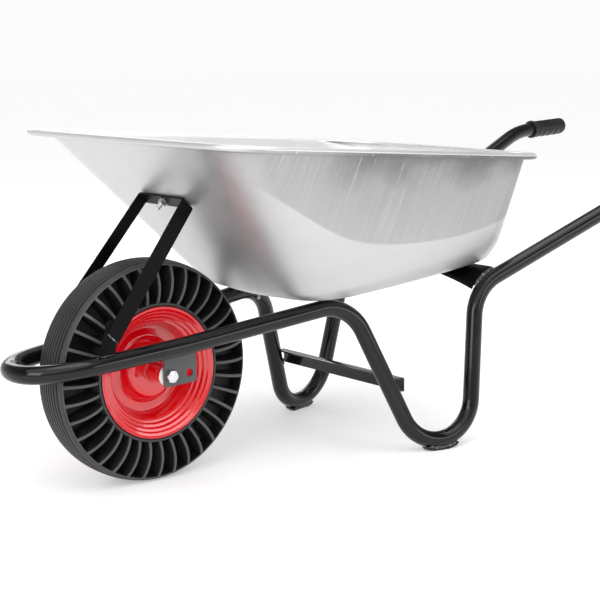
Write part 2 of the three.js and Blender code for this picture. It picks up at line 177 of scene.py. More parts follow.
def blend(factor, first, second):
    """Colour from first to second; each is an output or (red, green, blue)."""
    made = node("Mix", {"Factor": factor}, data_type="RGBA")
    for index, colour in ((6, first), (7, second)):
        fill(made.inputs[index], (*colour, 1) if isinstance(colour, tuple) else colour)
    return made.outputs[2]


def finish(colour, roughness, *bumps):
    """Connects the shader; bumps lie one on another: (height, distance in metres, strength)."""
    sockets = tree.nodes["Principled BSDF"].inputs
    fill(sockets["Base Color"], colour)
    fill(sockets["Roughness"], roughness)
    normal = None
    for height, distance, strength in bumps:
        made = node("Bump", {"Height": height, "Distance": distance, "Strength": strength})
        if normal:
            fill(made.inputs["Normal"], normal)
        normal = made.outputs[0]
    fill(sockets["Normal"], normal)


# ---- materials
def black_paint():
    """Thick gloss enamel over tube: slight orange peel, dust, and scuffs down to grey primer."""
    shader("black_paint", Specular_IOR_Level=0.22, Coat_Weight=0.3, Coat_Roughness=0.02)
    dust = between(noise(9, detail=6), 0.42, 0.72)
    scuff = between(noise(60, (1, 1, 2.2), detail=8, roughness=0.72), 0.71, 0.75)
    enamel = blend(dust, (0.003, 0.003, 0.0033), (0.007, 0.007, 0.0074))
    rough = plus(between(dust, 0, 1, 0.13, 0.24), between(scuff, 0, 1, 0, 0.25))
    orange_peel = noise(170, detail=2)
    finish(blend(scuff, enamel, (0.07, 0.068, 0.066)), rough,
           (orange_peel, 0.0006, 0.07), (scuff, 0.0004, -0.25))


def satin_paint(name, shine, dark, light):
    """The thinner paint on the flat pressed pieces: less shine, fine grain, faint rubbed patches."""
    shader(name, Specular_IOR_Level=shine)
    grain = noise(420, detail=3)
    patch = between(noise(24, detail=6, roughness=0.65), 0.4, 0.75)
    scratch = between(noise(90, (1, 1, 0.16), detail=7, roughness=0.75), 0.70, 0.75)
    paint = blend(patch, (dark, dark, dark * 1.07), (light, light, light * 1.04))
    finish(blend(scratch, paint, (0.035, 0.034, 0.033)), between(patch, 0, 1, 0.32, 0.46),
           (grain, 0.0003, 0.15), (patch, 0.0004, 0.08), (scratch, 0.0002, -0.2))


def weld_paint():
    """Paint over a rippled weld bead, with bare bright spots where it chipped."""
    shader("weld_black", Specular_IOR_Level=0.75)
    chip = between(noise(330, detail=5, roughness=0.7), 0.55, 0.61)
    finish(blend(chip, (0.03, 0.03, 0.031), (0.45, 0.44, 0.42)),
           between(noise(90), 0.3, 0.7, 0.22, 0.5), (noise(600, detail=4), 0.0008, 0.5))


def worn_steel():
    """Black paint worn through to dull steel, as on the soles of the feet."""
    shader("worn_steel", Specular_IOR_Level=0.4)
    bare = between(noise(130, (1, 1, 0.5), detail=7, roughness=0.7), 0.60, 0.68)
    fill(tree.nodes["Principled BSDF"].inputs["Metallic"], between(bare, 0, 1, 0.0, 0.75))
    finish(blend(bare, (0.01, 0.01, 0.0105), (0.16, 0.155, 0.15)),
           between(noise(200), 0.3, 0.7, 0.35, 0.6), (noise(350, detail=5), 0.0003, 0.2))


def down_wall(scale, detail, roughness):
    """Noise drawn out down the walls: it varies along X on the side walls and along Y on the end walls."""
    direction = facing()
    sideways = minus(maths("ABSOLUTE", direction["Y"]), maths("ABSOLUTE", direction["X"]))
    on_side = between(sideways, -0.2, 0.2)
    side_marks = noise(scale, (1, 0, 0.02), detail, roughness)
    end_marks = noise(scale, (0, 1, 0.02), detail, roughness)
    return node("Mix", {0: on_side, 2: end_marks, 3: side_marks}).outputs[0]


def above_draw_line(line):
    """Height above the line where the draw marks end, in metres."""
    position = split(place())
    along = between(position["X"], line["from"], line["to"])
    curve = node("FloatCurve", {"Value": along})
    points = curve.mapping.curves[0].points
    for index, spot in enumerate(line["points"]):
        if index < 2:
            points[index].location = spot
        else:
            points.new(*spot)
    curve.mapping.update()
    return minus(position["Z"], curve.outputs[0])


def galvanised(line):
    """Zinc-coated drawn sheet: vertical draw marks above the draw line, smooth and bright below it."""
    shader("galvanised", Metallic=0.86)
    above = above_draw_line(line)
    direction = facing()
    # no draw marks on the front wall, nor inside
    marked = times(between(direction["X"], -0.62, -0.34), between(direction["Z"], 0.10, -0.05))
    upper = times(between(above, -0.0015, 0.0035, smooth=True), marked)
    fading = between(above, 0.0, 0.16, 0.5, 1.0)
    marks = down_wall(42, 5, 0.6)
    fine_marks = down_wall(210, 3, 0.5)
    scratch = between(down_wall(150, 4, 0.8), 0.635, 0.67)
    cloud = noise(4.2, (1, 1, 1.4), detail=5)
    smear = noise(16, (0.5, 1, 1.6), detail=5, roughness=0.6)
    streaks = times(between(marks, 0.34, 0.66), upper)
    bright = blend(between(cloud, 0.3, 0.7), (0.56, 0.563, 0.568), (0.61, 0.612, 0.615))
    bright = blend(between(smear, 0.35, 0.75, 0, 0.5), bright, (0.68, 0.68, 0.682))
    combed = plus(times(marks, 0.45), times(fine_marks, 0.55))
    dull = blend(between(combed, 0.36, 0.64), (0.27, 0.272, 0.276), (0.38, 0.382, 0.386))
    # painted shade: the outside wall turns dark grey just under the rim, with a ragged lower edge
    uneven = plus(above, between(cloud, 0.3, 0.7, -0.05, 0.05))
    under_rim_painted_shade = between(uneven, 0.07, 0.155, smooth=True)
    dull = blend(under_rim_painted_shade, dull, (0.15, 0.152, 0.156))
    outside = blend(times(upper, fading), bright, dull)
    # painted light: faces that point up, the inside of the tray, get a much lighter base colour than the
    # outside walls
    colour = blend(between(direction["Z"], 0.05, 0.2), outside, (0.86, 0.862, 0.866))
    colour = blend(times(scratch, upper), colour, (0.62, 0.62, 0.62))
    rough = plus(between(cloud, 0.3, 0.7, 0.36, 0.43), between(streaks, 0, 1, 0.02, 0.09))
    rough = plus(rough, between(smear, 0.4, 0.8, 0, 0.06))
    ripple = times(fine_marks, between(upper, 0, 1, 0.12, 1))
    finish(colour, rough, (cloud, 0.004, 0.10), (ripple, 0.0003, 0.09),
           (noise(900, detail=2), 0.0001, 0.10))


def red_paint():
    """Gloss red powder coat with a faint orange peel."""
    shader("red_paint", Specular_IOR_Level=0.6, Coat_Weight=0.9, Coat_Roughness=0.03)
    shade = between(noise(14, detail=4), 0.35, 0.7)
    chip = between(noise(120, detail=6, roughness=0.7), 0.73, 0.76)
    red = blend(shade, (0.68, 0.0, 0.004), (0.78, 0.001, 0.009))
    finish(blend(chip, red, (0.30, 0.004, 0.006)),
           between(shade, 0, 1, 0.10, 0.16), (noise(150, detail=2), 0.0008, 0.10))


def tyre_rubber():
    """Charcoal solid rubber, matt, with a random grey bloom; painted highlight on the rib tops, painted
    shade in the pockets, on the rib flanks and in the grooves.
    """
    shader("tyre_rubber", Specular_IOR_Level=0.42)
    bloom = between(noise(18, detail=6, roughness=0.6), 0.35, 0.7)
    speck = noise(700, detail=3)
    from_axle = vector_maths("SUBTRACT", node("TexCoord").outputs["Object"], tuple(AXLE)).outputs[0]
    in_plane = vector_maths("MULTIPLY", from_axle, (1, 0, 1)).outputs[0]
    radius = vector_maths("LENGTH", in_plane).outputs["Value"]
    sideways = maths("ABSOLUTE", split(from_axle)["Y"])
    shoulder = between(radius, 0.1792, 0.1806)
    lip = between(radius, 0.1168, 0.1158)
    # the tread's crown falls away from its flat middle; what lies below it is a groove
    past_flat = maths("MAXIMUM", minus(sideways, 0.004), 0.0)
    fall = times(times(past_flat, past_flat), 4.5)
    sunk = minus(minus(0.187, fall), radius)
    groove = times(between(sunk, 0.0006, 0.002), between(sideways, 0.029, 0.0275))
    crest = times(between(maths("ABSOLUTE", facing()["Y"]), 0.55, 0.85), between(sideways, 0.028, 0.033))
    skin_side = maths("MAXIMUM", shoulder, lip)
    shown = maths("MAXIMUM", skin_side, crest)
    # painted shade: pocket floors and rib flanks near black; painted highlight: rib tops lighter; tread,
    # shoulders and lip in between
    pocket = blend(bloom, (0.006, 0.006, 0.0065), (0.013, 0.013, 0.0135))
    surface = blend(bloom, (0.032, 0.032, 0.034), (0.050, 0.050, 0.052))
    rib_top_highlight = blend(bloom, (0.062, 0.062, 0.064), (0.092, 0.092, 0.094))
    colour = blend(shown, pocket, blend(skin_side, rib_top_highlight, surface))
    # painted shade: the tread's grooves near black
    finish(blend(groove, colour, (0.008, 0.008, 0.008)), between(bloom, 0, 1, 0.48, 0.64),
           (speck, 0.0003, 0.35), (noise(60, detail=4), 0.0006, 0.15))


def grip_rubber():
    """Soft black moulded plastic with a fine grain."""
    shader("grip_rubber", Specular_IOR_Level=0.35)
    wear = between(noise(40, detail=5), 0.4, 0.7)
    finish(blend(wear, (0.005, 0.005, 0.0054), (0.012, 0.012, 0.0125)),
           between(wear, 0, 1, 0.36, 0.52), (noise(1100, detail=2), 0.0002, 0.3))


def zinc():
    """Bright zinc-plated steel with faint yellow-blue passivation."""
    shader("zinc", Metallic=1.0)
    tint = between(noise(120, detail=3), 0.35, 0.65)
    finish(blend(tint, (0.74, 0.735, 0.70), (0.68, 0.71, 0.76)),
           between(noise(260, detail=5), 0.3, 0.7, 0.20, 0.38), (noise(900, detail=3), 0.0002, 0.15))


def nylon():
    """White moulded nylon, slightly dusty."""
    shader("nylon", Specular_IOR_Level=0.4, Subsurface_Weight=0.1, Subsurface_Scale=0.003)
    dirt = between(noise(90, detail=6), 0.4, 0.75)
    finish(blend(dirt, (0.84, 0.84, 0.81), (0.66, 0.65, 0.62)),
           between(dirt, 0, 1, 0.38, 0.6), (noise(500, detail=2), 0.0002, 0.15))


# ---- mesh tools
SLOTS = {name: name for name in (
    "black_paint", "galvanised", "red_paint", "tyre_rubber", "grip_rubber", "zinc", "nylon")}
SLOTS.update({name: "black_paint" for name in (
    "satin_black", "weld_black", "bracket_black_painted_sheen", "worn_steel")})


def stand(name, data):
    """A new object in the scene."""
    made = bpy.data.objects.new(name, data)
    bpy.context.scene.collection.objects.link(made)
    return made


def piece(name, geometry, look, body="frame", replaces=(), sharp=35):
    """Makes an object from (vertices, faces), in place, riding on a body; sharp is in degrees."""
    mesh = bpy.data.meshes.new(name)
    mesh.from_pydata([tuple(v) for v in geometry[0]], [], geometry[1])
    work = bmesh.new()
    work.from_mesh(mesh)
    bmesh.ops.remove_doubles(work, verts=work.verts, dist=1e-6)
    bmesh.ops.recalc_face_normals(work, faces=work.faces)
    work.to_mesh(mesh)
    work.free()
    mesh.materials.append(MATERIALS[look])
    mesh.shade_smooth()
    mesh.set_sharp_from_angle(angle=math.radians(sharp))
    made = stand(name, mesh)
    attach(made, body)
    if replaces:
        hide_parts(*replaces)
    return made


def instead(cad_node, word, geometry, look, side="", **settings):
    """The piece that replaces a CAD node: its name has a word more, before the side."""
    return piece(cad_node + word + side, geometry, look, replaces=[cad_node + side], **settings)


def gathered(parts):
    """Puts several (vertices, faces) into one."""
    vertices, faces = [], []
    for more, theirs in parts:
        start = len(vertices)
        vertices += list(more)
        faces += [[start + i for i in face] for face in theirs]
    return vertices, faces


def moved(geometry, matrix):
    return [matrix @ Vector(v) for v in geometry[0]], geometry[1]


def flipped(geometry):
    """The same on the other side of the middle plane."""
    return [Vector((v[0], -v[1], v[2])) for v in geometry[0]], geometry[1]


def mirrored(pieces):
    """Makes left pieces and their mirror images: (name, left geometry, finish, replaced node or None)."""
    for sign, side in SIDES:
        for name, geometry, look, replaced in pieces:
            shape = geometry if sign < 0 else flipped(geometry)
            piece(name + side, shape, look, replaces=[replaced + side] if replaced else ())


def skin(rows, ends=False):
    """Quads between closed rows of equally many points; ends caps the first and the last row."""
    count = len(rows[0])
    vertices = [v for row in rows for v in row]
    last = len(vertices) - count
    faces = []
    for first in range(0, last, count):
        for k in range(count):
            n = (k + 1) % count
            faces.append([first + k, first + n, first + count + n, first + count + k])
    if ends:
        faces.append(list(range(count))[::-1])
        faces.append([last + k for k in range(count)])
    return vertices, faces


def curve_point(start, corner, stop, t):
    """A point of the curve that leaves start towards corner and comes in to stop."""
    return start * (1 - t) ** 2 + corner * 2 * t * (1 - t) + stop * t * t


def rounded(points, radii):
    """A 2-D outline with its corners rounded, each by its own radius; 0 leaves a corner as it is."""
    outline = []
    for i, (corner, size) in enumerate(zip(points, radii)):
        corner = Vector(corner)
        if size == 0:
            outline.append(corner)
            continue
        to_before = Vector(points[i - 1]) - corner
        to_after = Vector(points[(i + 1) % len(points)]) - corner
        angle = to_before.angle(to_after)
        reach = min(size / math.tan(angle / 2), 0.49 * to_before.length, 0.49 * to_after.length)
        start = corner + to_before.normalized() * reach
        stop = corner + to_after.normalized() * reach
        outline += [curve_point(start, corner, stop, t) for t in shares(4)]
    return outline


def polar(radius, angle, along):
    """A point round the local Y axis, from mm to metres."""
    return Vector((radius * math.cos(angle), along, radius * math.sin(angle))) * MM


def lathe(profile, segments, closed=False):
    """Turns [radius, along] points, in mm, about the local Y axis; closed joins the last to the first."""
    return skin([[polar(radius, angle, along) for angle in round_angles(segments)]
                 for radius, along in ([*profile, profile[0]] if closed else profile)])


def aimed(direction, origin):
    """A matrix that lays local Y along direction, at origin."""
    turn = Vector((0, 1, 0)).rotation_difference(Vector(direction))
    return Matrix.Translation(origin) @ turn.to_matrix().to_4x4()


def basis(origin, x_axis, y_axis):
    """A matrix with the given local X and Y; local Z is their cross product."""
    x_axis, y_axis = Vector(x_axis).normalized(), Vector(y_axis).normalized()
    z_axis = x_axis.cross(y_axis).normalized()
    matrix = Matrix((x_axis, y_axis, z_axis)).transposed().to_4x4()
    matrix.translation = origin
    return matrix


def carried(points):
    """Frames carried along a line without twist: (point, side, up)."""
    result = []
    along = (points[1] - points[0]).normalized()
    side = along.cross(Vector((0, 0, 1)))
    side = side.normalized() if side.length > 0.1 else along.cross(Vector((1, 0, 0))).normalized()
    for i, point in enumerate(points):
        now = (points[min(i + 1, len(points) - 1)] - points[max(i - 1, 0)]).normalized()
        side = along.rotation_difference(now) @ side
        side = (side - now * side.dot(now)).normalized()
        along = now
        result.append((point, side, side.cross(now)))
    return result


def swept(points, radius_at, sides):
    """A round section along a line; radius_at gives metres for (index, angle)."""
    angles = round_angles(sides)
    rows = []
    for i, (point, side, up) in enumerate(carried(points)):
        row = []
        for angle in angles:
            r = radius_at(i, angle)
            row.append(point + side * (r * math.cos(angle)) + up * (r * math.sin(angle)))
        rows.append(row)
    return skin(rows, ends=True)


def resampled(points, spacing):
    """Points a given distance apart along a polyline."""
    result = [points[0]]
    left = spacing
    for a, b in zip(points, points[1:]):
        length = (b - a).length
        while left < length:
            result.append(a.lerp(b, left / length))
            left += spacing
        left -= length
    result.append(points[-1])
    return result


WELD_SPACING, WELD_SIDES = 1.3, 10


def weld(points, radius, seed):
    """A hand-laid bead: overlapping ripples of uneven size along a line of points in metres."""
    chance = random.Random(seed)
    line = resampled(points, WELD_SPACING * MM / 2)
    sway = [chance.uniform(-1, 1) for _ in line]
    wobble = [sum(sway[max(0, i - 4):i + 5]) / 9 for i in range(len(line))]

    def radius_at(i, angle):
        taper = min(1.0, 0.35 + 0.1 * min(i, len(line) - 1 - i))
        ripple = 0.10 * math.sin(math.pi * i * 0.62)
        uneven = ripple + 0.45 * wobble[i] + 0.05 * math.sin(3 * angle + i)
        return radius * MM * taper * (1 + uneven)

    return swept(line, radius_at, WELD_SIDES)


def plate(outline, thickness, to_world, edge, holes=()):
    """A flat plate with softened edges: outline and holes (x, y, radius) in mm, in the local XY plane.

    The plate takes up 0..thickness along local Z; to_world is a matrix that works in metres."""
    curve = bpy.data.curves.new("plate", "CURVE")
    curve.dimensions = "2D"
    curve.fill_mode = "BOTH"
    curve.extrude = (thickness / 2 - edge) * MM
    curve.bevel_depth = edge * MM
    curve.bevel_resolution = 2
    curve.offset = -edge * MM
    rims = [[(x + radius * math.cos(angle), y + radius * math.sin(angle)) for angle in round_angles(40)]
            for x, y, radius in holes]
    for loop in [outline, *rims]:
        spline = curve.splines.new("POLY")
        spline.points.add(len(loop) - 1)
        spline.use_cyclic_u = True
        for point, (x, y) in zip(spline.points, loop):
            point.co = (x * MM, y * MM, 0, 1)
    holder = stand("plate", curve)
    seen = holder.evaluated_get(bpy.context.evaluated_depsgraph_get())
    mesh = bpy.data.meshes.new_from_object(seen)
    mesh.transform(to_world @ Matrix.Translation((0, 0, thickness * MM / 2)))
    bpy.data.objects.remove(holder)
    bpy.data.curves.remove(curve)
    vertices = [v.co.copy() for v in mesh.vertices]
    faces = [list(p.vertices) for p in mesh.polygons]
    bpy.data.meshes.remove(mesh)
    return vertices, faces


# ---- frame tube
TUBE_RADIUS = 15
# nose tip, nose start, rail kink, front corner, foot, rear corner, handle bend, grip end
TUBE_CORNERS = [(-244, 0, 218), (-130, 74, 227), (20, 84, 239), (346, 124, 281),
                (534, 235, -181), (607, 181, 284), (1221, 270, 528), (1376, 272, 536)]
FOOT_RADIUS = 76
# radius, and steps along the arc, at the rail kink and the four corners after it
TUBE_BENDS = [(400, 3), (80, 18), (FOOT_RADIUS, 32), (85, 16), (240, 12)]
NOSE_BESIDE, NOSE_AHEAD, NOSE_STEPS = 47, 71, 28


def tube_corners(sign):
    return [at(x, sign * y, z) for x, y, z in TUBE_CORNERS]


def bend_centre(before, corner, after, radius):
    back, on = (before - corner).normalized(), (after - corner).normalized()
    half = back.angle(on) / 2
    return corner + (back + on).normalized() * (radius * MM / math.sin(half)), back, on, half


def bend(before, corner, after, radius, count):
    """Points along the arc that rounds a corner."""
    centre, back, _, half = bend_centre(before, corner, after, radius)
    arm = corner + back * (radius * MM / math.tan(half)) - centre
    axis = arm.cross(corner - centre).normalized()
    sweep = math.pi - 2 * half
    return [centre + Quaternion(axis, sweep * i / count) @ arm for i in range(count + 1)]


def side_line(sign):
    """One side of the tube's centre line, from the nose tip to inside the grip."""
    corners = tube_corners(sign)
    tip, start, kink = corners[:3]
    beside = tip + Vector((0, sign * NOSE_BESIDE, 0)) * MM
    ahead = start + (start - kink).normalized() * NOSE_AHEAD * MM
    line = [tip * (1 - t) ** 3 + beside * 3 * t * (1 - t) ** 2 + ahead * 3 * t * t * (1 - t)
            + start * t ** 3 for t in shares(NOSE_STEPS)]
    for before, corner, after, (radius, steps) in zip(corners[1:], corners[2:], corners[3:], TUBE_BENDS):
        line += bend(before, corner, after, radius, steps)
    return [*line, corners[-1] + (corners[-2] - corners[-1]).normalized() * 7 * MM]


def frame_tube():
    line = side_line(-1)[:0:-1] + side_line(1)
    tube = swept(line, lambda i, angle: TUBE_RADIUS * MM, 44)
    instead("frame_tube", "_skin", tube, "black_paint")


def onto_tube(point, sign, lift=0.0):
    """The point pushed straight out to the surface of the tube."""
    line = side_line(sign)
    centre = None
    for a, b in zip(line, line[1:]):
        t = max(0.0, min(1.0, (point - a).dot(b - a) / (b - a).length_squared))
        on = a.lerp(b, t)
        if centre is None or (on - point).length < (centre - point).length:
            centre = on
    return centre + (point - centre).normalized() * (TUBE_RADIUS + lift) * MM


def on_tube(start, stop, steps, lift):
    """Points on the tube along a straight line beside it; start and stop are (x, y, z) in mm."""
    sign = 1 if start[1] > 0 else -1
    return [onto_tube(at(*Vector(start).lerp(Vector(stop), t)), sign, lift) for t in shares(steps)]


# ---- tray
OUTLINE = ("front", "rear", "front_half", "rear_half", "front_corner", "rear_corner", "bow",
           "level", "slope")
RIM, WALL_TOP, WALL_FOOT, FLOOR_TURN, FLOOR = [dict(zip(OUTLINE, values)) for values in (
    (-60, 728, 334, 273, 108, 130, 10, 577, -0.0675),
    (-36, 710, 309, 250, 135, 110, 10, 569, -0.0675),
    (208, 710, 180, 175, 110, 72, 6, 277, 0.125),
    (242, 698, 166, 160, 100, 74, 6, 268.5, 0.092),
    (272, 666, 150, 140, 90, 70, 6, 268, 0.081))]
FLOOR_MIDDLE = 440
SHEET_THICKNESS = 0.9
BEAD_RADIUS = 4.8


def level_at(outline, x):
    """Height of an outline's tilted plane."""
    return outline["level"] + outline["slope"] * x


def ring(outline, inset=0.0, lift=0.0):
    """A closed outline with bowed sides and rounded corners, in mm, on its tilted plane."""
    front, rear = outline["front"] + inset, outline["rear"] - inset
    front_half, rear_half = outline["front_half"] - inset, outline["rear_half"] - inset
    corners = [Vector(c) for c in (
        (front, -front_half), (rear, -rear_half), (rear, rear_half), (front, front_half))]
    radii = [outline[k] for k in ("front_corner", "rear_corner", "rear_corner", "front_corner")]
    points = []
    for i, corner in enumerate(corners):
        after, radius = corners[(i + 1) % 4], radii[(i + 1) % 4]
        along = (after - corner).normalized()
        outwards = Vector((along.y, -along.x))
        start, stop = corner + along * radii[i], after - along * radius
        bulge = (start + stop) / 2 + outwards * outline["bow"] * 2
        leave = after + (corners[(i + 2) % 4] - after).normalized() * radius
        points += [curve_point(start, bulge, stop, t) for t in shares(22)[:-1]]
        points += [curve_point(stop, after, leave, t) for t in shares(16)[:-1]]
    return [Vector((p.x, p.y, level_at(outline, p.x) + lift)) for p in points]


def mixed(first, second, share):
    return [p.lerp(q, share) for p, q in zip(first, second)]


def softened(rows, first=0.25):
    """Cuts the corners of a stack of rows three times, which rounds its turns; first is the first cut."""
    for share in (first, 0.25, 0.25):
        cut = [rows[0]]
        for a, b in zip(rows, rows[1:]):
            cut += [mixed(a, b, share), mixed(a, b, 1 - share)]
        rows = [*cut, rows[-1]]
    return rows


def tray():
    centre = Vector((FLOOR_MIDDLE, 0, level_at(FLOOR, FLOOR_MIDDLE)))
    edge = ring(FLOOR)
    floor_rows = [[centre.lerp(p, share) for p in edge] for share in (0.02, 0.3, 0.6, 0.85)]
    wall_foot, wall_top = ring(WALL_FOOT), ring(WALL_TOP)
    bowl = softened([floor_rows[-1], edge, ring(FLOOR_TURN), wall_foot,
                     mixed(wall_foot, wall_top, 0.12)], first=0.13)
    walls = [mixed(bowl[-1], wall_top, share) for share in (0.3, 0.6, 0.85)]
    shoulder = softened([walls[-1], wall_top, ring(RIM, 20, -1.5), ring(RIM, 12, -0.9)])
    bead = []
    for degrees in range(80, -215, -14):
        angle = math.radians(degrees)
        inset = 5.6 - BEAD_RADIUS * math.cos(angle)
        bead.append(ring(RIM, inset, BEAD_RADIUS * (math.sin(angle) - 1) - 0.7))
    rows = [*floor_rows[:-1], *bowl, *walls[:-1], *shoulder, *bead]
    geometry = skin([[at(*p) for p in row] for row in rows])
    geometry[1].append(list(range(len(edge)))[::-1])
    sheet = instead("tray", "_sheet", geometry, "galvanised", sharp=50)
    thick = sheet.modifiers.new("thickness", "SOLIDIFY")
    thick.thickness = SHEET_THICKNESS * MM
    thick.offset = 1.0


# how far up the side wall the draw marks end, at places along X
DRAW_SHARES = {-140: 1.02, -77: 0.98, 20: 0.846, 125: 0.648, 213: 0.479, 278: 0.378,
               358: 0.302, 487: 0.24, 566: 0.233, 640: 0.27, 700: 0.33}


def draw_line():
    """Where the draw marks end on the side walls: its heights in metres, along a share of its length."""
    front, rear = min(DRAW_SHARES), max(DRAW_SHARES)
    points = []
    for x, share in DRAW_SHARES.items():
        low, high = level_at(WALL_FOOT, x), level_at(WALL_TOP, x)
        points.append(((x - front) / (rear - front), at(x, 0, low + share * (high - low)).z))
    ends_first = [points[0], points[-1], *points[1:-1]]
    return {"from": at(front, 0, 0).x, "to": at(rear, 0, 0).x, "points": ends_first}


# ---- wheel
TYRE_RADIUS = 187
RIBS = 36
RIB_THICKNESS = 5.8
POCKET_INNER, POCKET_OUTER = 117, 178.5
WEB_HALF = 11
SIDE_AT_TREAD, SIDE_AT_RIM, RIB_BULGE = 35.2, 41.5, 9.5
GROOVES = (-24.5, -17.5, -10.5, -3.5, 3.5, 10.5, 17.5, 24.5)
GROOVE_DEPTH, GROOVE_HALF, GROOVE_WALL = 3.2, 1.9, 0.7


def tread():
    """[radius, y] across the tread from one shoulder to the other, with fine grooves."""
    points = []
    for y in [k * 0.5 for k in range(-62, 63)]:
        crown = (TYRE_RADIUS - 0.0045 * max(abs(y) - 4, 0) ** 2 - 0.00035 * max(abs(y) - 20, 0) ** 3)
        sunk = max(min(1.0, max(0.0, GROOVE_HALF - abs(y - g)) / GROOVE_WALL) for g in GROOVES)
        points.append((crown - GROOVE_DEPTH * sunk, y))
    return points


def tyre_side(on_rib):
    """[radius, y] from the shoulder down one side to the rim, over a rib or down into a pocket."""
    points = [(182.8, 32.2), (181.8, 33.4), (180.2, 34.2), (POCKET_OUTER + 0.4, 34.9)]
    for t in shares(14):
        y = SIDE_AT_TREAD + (SIDE_AT_RIM - SIDE_AT_TREAD) * t
        if 0 < t < 1:
            y = y + RIB_BULGE * math.sin(math.pi * t) ** 0.8 if on_rib else WEB_HALF
        points.append((POCKET_OUTER + (POCKET_INNER - POCKET_OUTER) * t, y))
    return points + [(116.2, 42.6), (115.2, 43.1), (113.6, 43.0), (112.0, 41.6), (111.2, 37.6),
                     (95, 30), (87, 25)]


def tyre():
    """Ribs and pockets are columns of one closed skin: each column is a section of the tyre."""
    rib, pocket = tyre_side(True), tyre_side(False)
    crown = tread()
    # distance out from the rib's side face, in mm, and how far up the rib's flank it is
    rise = [(1.3, 0.0), (0.8, 0.04), (0.15, 0.9), (-0.05, 0.975), (-0.6, 1.0)]
    half = RIB_THICKNESS / 2
    flank = [(-half - out, up) for out, up in rise]
    flank += [(0, 1.0)] + [(half + out, up) for out, up in rise[::-1]]
    rows = []
    for i in range(RIBS):
        columns = [(0, offset, height) for offset, height in flank]
        columns += [(share, 0.0, 0.0) for share in (0.33, 0.5, 0.67)]
        for share, offset, height in columns:
            side = [(r, low + (high - low) * height) for (r, high), (_, low) in zip(rib, pocket)]
            section = [(r, -y) for r, y in side[::-1]] + crown + side
            centre = TURN * (i + share) / RIBS
            rows.append([AXLE + polar(radius, centre + offset / radius, y) for radius, y in section])
    instead("tyre", "_skin", skin([*rows, rows[0]]), "tyre_rubber", body="wheel", sharp=48)


RIM_PROFILE = [(16.6, 23.4), (36, 23.4), (42.5, 21.5), (47, 16), (52, 5.5), (57, 1.6), (70, 1.4),
               (75.5, 4.5), (81, 23), (83.5, 25.6), (87.5, 26.4), (89, 31), (94, 32), (95.6, 36.6),
               (100.4, 37.8), (102, 41), (106.6, 42.2), (109.6, 44.2), (110.9, 42.4)]
RIM_ROUNDING = [0, 4, 5, 6, 6, 5, 5, 5, 5, 2.5, 1.6, 1.6, 1.6, 1.6, 1.6, 1.6, 2, 1.5, 0]
RIM_SHEET = 1.6


def sheet_profile(points, thickness):
    """Both faces of a sheet whose outside follows the points."""
    inner = []
    for i, point in enumerate(points):
        before, after = points[max(i - 1, 0)], points[min(i + 1, len(points) - 1)]
        along = (after - before).normalized()
        inner.append(Vector((point.x + along.y * thickness, point.y - along.x * thickness)))
    return [*points, *inner[::-1]]


def turned(cad_node, profile, segments, look, side="", **settings):
    """A piece on the wheel, turned about the axle."""
    shape = moved(lathe(profile, segments, closed=True), ON_AXLE)
    instead(cad_node, "_skin", shape, look, side, body="wheel", **settings)


def rim_discs():
    outline = sheet_profile(rounded(RIM_PROFILE, RIM_ROUNDING), RIM_SHEET)
    for sign, side in SIDES:
        profile = [(p.x, sign * max(p.y, 0.3)) for p in outline]
        turned("rim_disc" + side, profile, 160, "red_paint", sharp=60)


HUB_TUBE = [(12.8, -66), (14.4, -66), (15, -65.4), (15, 65.4), (14.4, 66), (12.8, 66)]
BUSH = [(6.2, 44), (12.6, 44), (12.6, 66.1), (17.2, 66.3), (18, 67), (18, 69), (17.2, 69.9),
        (9.5, 70), (8, 69.2), (6.2, 69.2)]
HUB_WELD_RADIUS, HUB_WELD_SIDEWAYS = 16.4, 24.3


def hub():
    turned("hub_tube", HUB_TUBE, 72, "red_paint")
    for sign, side in SIDES:
        turned("hub_bush", [(r, sign * y) for r, y in BUSH], 64, "nylon", side)
        line = [AXLE + polar(HUB_WELD_RADIUS, TURN * t, sign * HUB_WELD_SIDEWAYS) for t in shares(60)]
        piece("hub_weld" + side, weld(line, 2.6, seed=11 + sign), "red_paint", body="wheel")


# ---- fasteners
def hexagon_solid(across_flats, start, stop, bore=0.0, turn=0.0):
    """A hexagon along local Y from start to stop, with the corners of both ends chamfered."""
    apothem = across_flats / 2
    inside = apothem * 0.96
    onward = 1 if stop > start else -1
    angles = round_angles(72)

    def corners(along, inwards):
        """A row on the flats and corners, which a chamfer lowers at the corners."""
        row = []
        for angle in angles:
            outer = apothem / math.cos((angle + math.pi / 6) % (math.pi / 3) - math.pi / 6)
            row.append(polar(outer, angle + turn, along + inwards * (outer - inside) * 0.53))
        return row

    def circle(along, radius):
        return [polar(radius, angle + turn, along) for angle in angles]

    rows = [circle(start, inside), corners(start, onward), corners(stop, -onward), circle(stop, inside)]
    if not bore:
        return skin(rows, ends=True)
    rows += [circle(stop, bore + 0.8), circle(stop - 0.8 * onward, bore),
             circle(start + 0.8 * onward, bore), circle(start, bore + 0.8)]
    return skin([*rows, rows[0]])


def threaded(radius, start, stop, pitch):
    """A rod along local Y whose thread stands as a row of ridges, with a chamfered end at stop."""
    onward = 1 if stop > start else -1
    profile = [(0.01, start), (radius, start)]
    for k in range(1, int(abs(stop - start) / pitch) - 1):
        along = start + onward * pitch * k
        profile += [(radius, along), (radius - 0.55 * pitch, along + onward * pitch / 2)]
    profile += [(radius - 0.3 * pitch, stop - onward * 0.7 * pitch), (radius - pitch, stop), (0.01, stop)]
    return lathe(profile, 32)


def dome_head(radius, seat):
    return lathe([(0.01, seat), (radius - 0.4, seat), (radius, seat + 0.4), (radius - 0.2, seat + 1.1),
                  (radius * 0.86, seat + 2.3), (radius * 0.6, seat + 3.1),
                  (radius * 0.3, seat + 3.5), (0.01, seat + 3.6)], 40)


